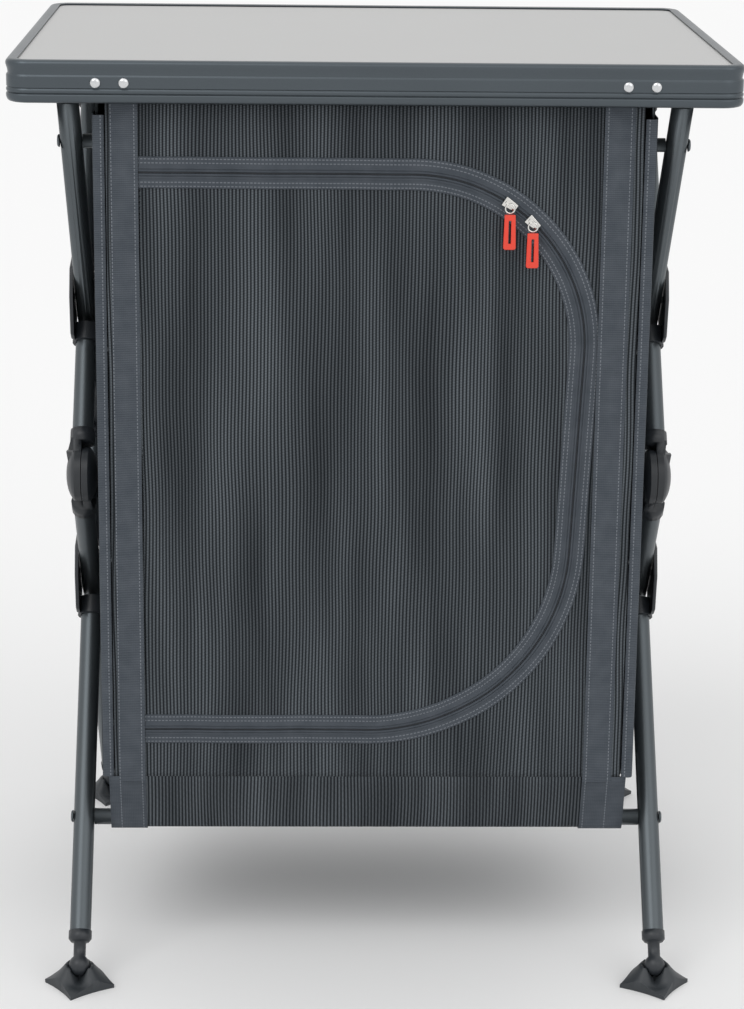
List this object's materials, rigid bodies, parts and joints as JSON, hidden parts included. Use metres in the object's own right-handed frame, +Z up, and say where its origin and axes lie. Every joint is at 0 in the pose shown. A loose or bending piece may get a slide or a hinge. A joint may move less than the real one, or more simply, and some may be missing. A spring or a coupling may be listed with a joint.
{
  "type": "folding camp kitchen cupboard",
  "caption": "Folding camp kitchen cupboard: framed table top on scissor side legs, with a zipped ribbed mesh fabric cabinet of shelves hung below.",
  "frame": {"origin": "on the ground, below the middle of the bounding box", "axes": "+Z up, front (the zipped door) towards -Y, +X to the right as seen from the front"},
  "size_m": [0.62, 0.5329, 0.82],
  "materials": {
    "dark_rim_metal": "satin",
    "dark_tube_metal": "satin",
    "light_grey_board": "matte",
    "black_plastic": "satin",
    "bright_steel": "polished",
    "ribbed_mesh_cloth": "matte",
    "grey_webbing": "matte",
    "red_pull": "satin",
    "shelf_board": "matte"
  },
  "bodies": {
    "table": {"table_rim": "dark_rim_metal", "table_board": "light_grey_board", "left_rail": "dark_tube_metal", "right_rail": "dark_tube_metal", "front_rivet_1": "bright_steel", "front_rivet_2": "bright_steel", "front_rivet_3": "bright_steel", "front_rivet_4": "bright_steel", "front_panel": "ribbed_mesh_cloth", "zip_outer_tape": "grey_webbing", "cabinet_wrap": "ribbed_mesh_cloth", "bottom_sling": "ribbed_mesh_cloth"},
    "long_upper_link": {"left_upper_long_tube": "dark_tube_metal", "left_rear_knuckle_upper": "black_plastic", "right_upper_long_tube": "dark_tube_metal", "right_rear_knuckle_upper": "black_plastic", "front_axle": "dark_tube_metal"},
    "half_upper_link": {"left_upper_hub": "black_plastic", "left_upper_rear_tube": "dark_tube_metal", "left_upper_front_tube": "dark_tube_metal", "left_rear_end_fitting": "black_plastic", "left_front_knuckle_upper": "black_plastic", "right_upper_hub": "black_plastic", "right_upper_rear_tube": "dark_tube_metal", "right_upper_front_tube": "dark_tube_metal", "right_rear_end_fitting": "black_plastic", "right_front_knuckle_upper": "black_plastic", "rear_axle": "dark_tube_metal"},
    "half_lower_link": {"left_rear_knuckle_lower": "black_plastic", "left_lower_rear_tube": "dark_tube_metal", "left_lower_hub": "black_plastic", "left_lower_front_tube": "dark_tube_metal", "left_front_foot_stem": "black_plastic", "right_rear_knuckle_lower": "black_plastic", "right_lower_rear_tube": "dark_tube_metal", "right_lower_hub": "black_plastic", "right_lower_front_tube": "dark_tube_metal", "right_front_foot_stem": "black_plastic", "front_bar": "dark_tube_metal"},
    "long_lower_link": {"left_front_knuckle_lower": "black_plastic", "left_lower_long_tube": "dark_tube_metal", "left_rear_foot_stem": "black_plastic", "right_front_knuckle_lower": "black_plastic", "right_lower_long_tube": "dark_tube_metal", "right_rear_foot_stem": "black_plastic", "rear_bar": "dark_tube_metal"},
    "door": {"door": "ribbed_mesh_cloth", "zip_inner_tape": "grey_webbing"},
    "upper_slider": {"zip_upper_slider": "bright_steel"},
    "lower_slider": {"zip_lower_slider": "bright_steel"},
    "upper_pull": {"zip_upper_pull": "red_pull"},
    "lower_pull": {"zip_lower_pull": "red_pull"},
    "upper_shelf": {"upper_shelf": "shelf_board"},
    "lower_shelf": {"lower_shelf": "shelf_board"},
    "bottom_board": {"bottom_board": "shelf_board"},
    "left_front_pad": {"left_front_foot_pad": "black_plastic"},
    "left_rear_pad": {"left_rear_foot_pad": "black_plastic"},
    "right_front_pad": {"right_front_foot_pad": "black_plastic"},
    "right_rear_pad": {"right_rear_foot_pad": "black_plastic"}
  },
  "joints": [
    {"name": "fold", "type": "hinge", "parent": "table", "child": "long_upper_link", "pos_m": [0, -0.15216, 0.7467], "axis": [1, 0, 0], "range_deg": [0, 47], "deforming": ["front_panel", "zip_outer_tape", "door", "zip_inner_tape", "cabinet_wrap", "bottom_sling"]},
    {"name": "upper_hub_pivot", "type": "hinge", "parent": "long_upper_link", "child": "half_upper_link", "pos_m": [0, -0.02596, 0.58517], "axis": [1, 0, 0], "range_deg": [-94, 0]},
    {"name": "rear_knuckle_pivot", "type": "hinge", "parent": "long_upper_link", "child": "half_lower_link", "pos_m": [0, 0.04914, 0.47037], "axis": [1, 0, 0], "range_deg": [-94, 0]},
    {"name": "lower_hub_pivot", "type": "hinge", "parent": "half_lower_link", "child": "long_lower_link", "pos_m": [0, -0.02544, 0.32293], "axis": [1, 0, 0], "range_deg": [0, 94]},
    {"name": "upper_shelf_rise", "type": "slide", "parent": "table", "child": "upper_shelf", "axis": [0, 0, 1], "range_m": [0, 0.161]},
    {"name": "lower_shelf_rise", "type": "slide", "parent": "table", "child": "lower_shelf", "axis": [0, 0, 1], "range_m": [0, 0.345]},
    {"name": "bottom_board_rise", "type": "slide", "parent": "table", "child": "bottom_board", "axis": [0, 0, 1], "range_m": [0, 0.539]},
    {"name": "left_front_pad_tilt", "type": "hinge", "parent": "half_lower_link", "child": "left_front_pad", "pos_m": [-0.2582, -0.23649, 0.0195], "axis": [1, 0, 0], "range_deg": [-22, 22]},
    {"name": "left_rear_pad_tilt", "type": "hinge", "parent": "long_lower_link", "child": "left_rear_pad", "pos_m": [-0.2582, 0.21163, 0.0195], "axis": [1, 0, 0], "range_deg": [-22, 22]},
    {"name": "right_front_pad_tilt", "type": "hinge", "parent": "half_lower_link", "child": "right_front_pad", "pos_m": [0.2582, -0.23649, 0.0195], "axis": [1, 0, 0], "range_deg": [-22, 22]},
    {"name": "right_rear_pad_tilt", "type": "hinge", "parent": "long_lower_link", "child": "right_rear_pad", "pos_m": [0.2582, 0.21163, 0.0195], "axis": [1, 0, 0], "range_deg": [-22, 22]},
    {"name": "door_swing", "type": "hinge", "parent": "table", "child": "door", "pos_m": [-0.2, -0.17826, 0.47], "axis": [0, 0, -1], "range_deg": [0, 150]},
    {"name": "upper_slider_run", "type": "hinge", "parent": "door", "child": "upper_slider", "pos_m": [0.0326, -0.17586, 0.5743], "axis": [0, -1, 0], "range_deg": [0, 28]},
    {"name": "upper_pull_lift", "type": "hinge", "parent": "upper_slider", "child": "upper_pull", "pos_m": [0.11517, -0.18396, 0.69503], "axis": [-1, 0, 0], "range_deg": [0, 100]},
    {"name": "lower_slider_run", "type": "hinge", "parent": "door", "child": "lower_slider", "pos_m": [0.0326, -0.17586, 0.5743], "axis": [0, 1, 0], "range_deg": [0, 45]},
    {"name": "lower_pull_lift", "type": "hinge", "parent": "lower_slider", "child": "lower_pull", "pos_m": [0.1349, -0.18396, 0.6795], "axis": [-1, 0, 0], "range_deg": [0, 100]}
  ],
  "couplings": [
    {"joint": "upper_hub_pivot", "follows": "fold", "ratio": -2},
    {"joint": "rear_knuckle_pivot", "follows": "fold", "ratio": -2},
    {"joint": "lower_hub_pivot", "follows": "fold", "ratio": 2},
    {"joint": "upper_shelf_rise", "follows": "fold", "m_per_rad": 0.1962},
    {"joint": "lower_shelf_rise", "follows": "fold", "m_per_rad": 0.4205},
    {"joint": "bottom_board_rise", "follows": "fold", "m_per_rad": 0.657}
  ]
}
